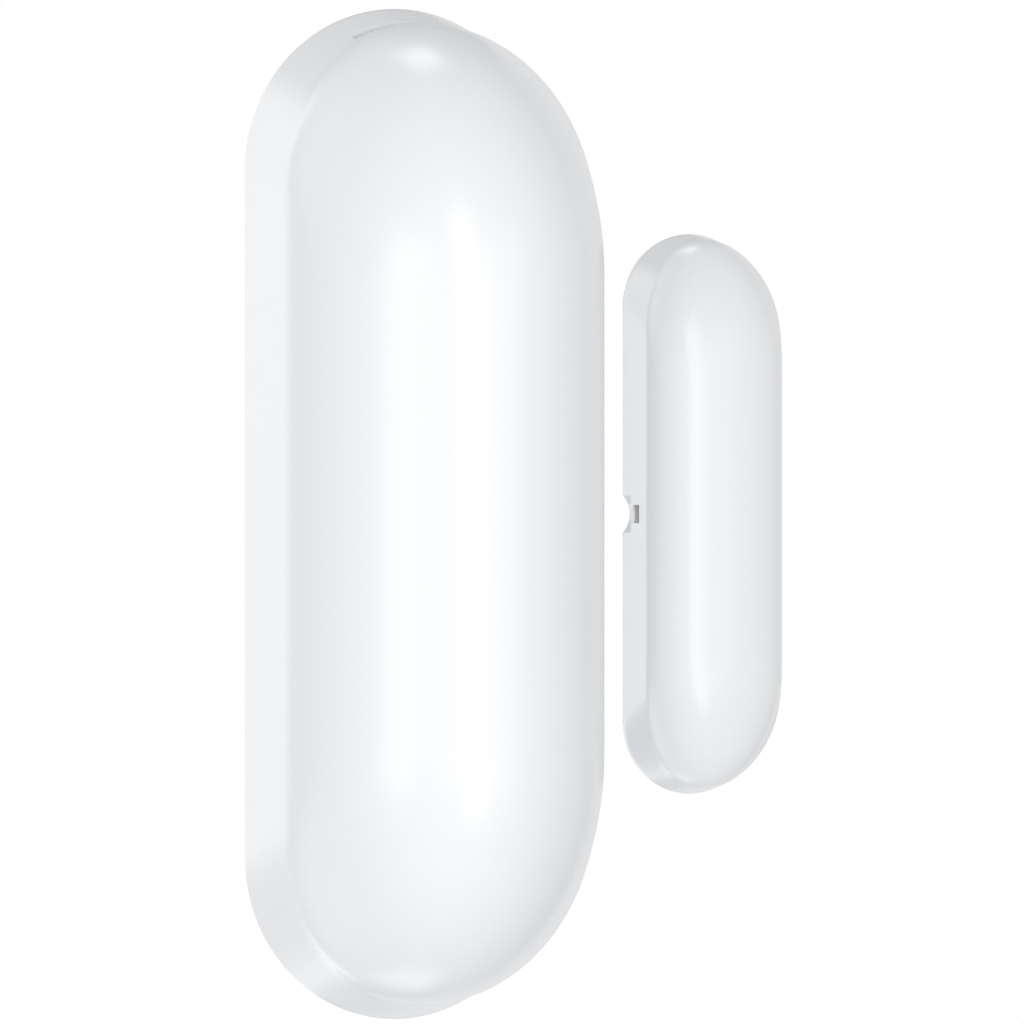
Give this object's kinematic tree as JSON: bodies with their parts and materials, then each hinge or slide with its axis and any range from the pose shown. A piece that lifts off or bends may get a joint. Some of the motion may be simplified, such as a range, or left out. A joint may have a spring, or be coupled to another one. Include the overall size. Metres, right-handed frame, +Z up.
{
  "type": "door contact sensor",
  "caption": "Wall-stuck magnetic door contact: a long domed wireless sensor unit and a small domed magnet unit that parts from it as the door opens.",
  "frame": {"origin": "centre of the sensor unit's adhesive face, on the wall", "axes": "+X right towards the magnet unit, +Y into the wall (the domes face -Y), +Z up along the sensor unit"},
  "size_m": [0.0396, 0.0225, 0.072],
  "materials": {
    "cover_abs": "gloss white moulded ABS",
    "base_abs": "fine-textured white moulded ABS",
    "adhesive_foam": "white closed-cell adhesive foam",
    "board_laminate": "green solder mask on glass-fibre laminate",
    "screw_steel": "zinc-plated steel",
    "cell_steel": "nickel-plated steel",
    "cell_roll": "wound electrode roll, dark",
    "cell_sleeve_film": "shrink film, plain blue",
    "cradle_nylon": "black moulded nylon",
    "contact_metal": "nickel-plated spring strip",
    "reed_glass": "clear greenish glass",
    "reed_metal": "tinned nickel-iron",
    "switch_black": "black moulded nylon",
    "button_plastic": "pale moulded nylon",
    "led_resin": "clear resin over a pale chip body",
    "can_metal": "stamped tinned steel",
    "ceramic": "pale sintered ceramic",
    "capacitor_ceramic": "brown sintered ceramic",
    "magnet_nickel": "nickel-plated sintered magnet"
  },
  "bodies": {
    "sensor_unit": {"sensor_base": "base_abs", "sensor_pad": "adhesive_foam", "circuit_board": "board_laminate", "board_screws": "screw_steel", "cell_can": "cell_steel", "cell_core": "cell_roll", "cell_sleeve": "cell_sleeve_film", "cell_cap": "cell_steel", "battery_cradle": "cradle_nylon", "positive_contact": "contact_metal", "negative_contact": "contact_metal", "reed_glass": "reed_glass", "reed_fixed_blade": "reed_metal", "reed_moving_lead": "reed_metal", "switch_body": "switch_black", "switch_frame": "can_metal", "status_led": "led_resin", "timing_crystal": "can_metal", "radio_module": "board_laminate", "radio_shield": "can_metal", "chip_antenna": "ceramic", "capacitors": "capacitor_ceramic"},
    "sensor_cover": {"sensor_cover": "cover_abs"},
    "pairing_button": {"pairing_button": "button_plastic"},
    "reed_blade": {"reed_moving_blade": "reed_metal"},
    "magnet_unit": {"magnet_base": "base_abs", "bar_magnet": "magnet_nickel", "magnet_pad": "adhesive_foam"},
    "magnet_cover": {"magnet_cover": "cover_abs"}
  },
  "joints": [
    {"name": "door_opening", "type": "slide", "parent": "sensor_unit", "child": "magnet_unit", "axis": [1, 0, 0], "range_m": [0, 0.06]},
    {"name": "sensor_cover_lift", "type": "slide", "parent": "sensor_unit", "child": "sensor_cover", "axis": [0, -1, 0], "range_m": [0, 0.03]},
    {"name": "magnet_cover_lift", "type": "slide", "parent": "magnet_unit", "child": "magnet_cover", "axis": [0, -1, 0], "range_m": [0, 0.012]},
    {"name": "pairing_press", "type": "slide", "parent": "sensor_unit", "child": "pairing_button", "axis": [0, 1, 0], "range_m": [0, 0.00025], "stiffness_N_per_m": 1500, "springref_m": -0.0002},
    {"name": "reed_flex", "type": "hinge", "parent": "sensor_unit", "child": "reed_blade", "pos_m": [0.0076, -0.0059, 0.0037], "axis": [-1, 0, 0], "range_deg": [0, 2], "stiffness_Nm_per_rad": 0.0005}
  ]
}
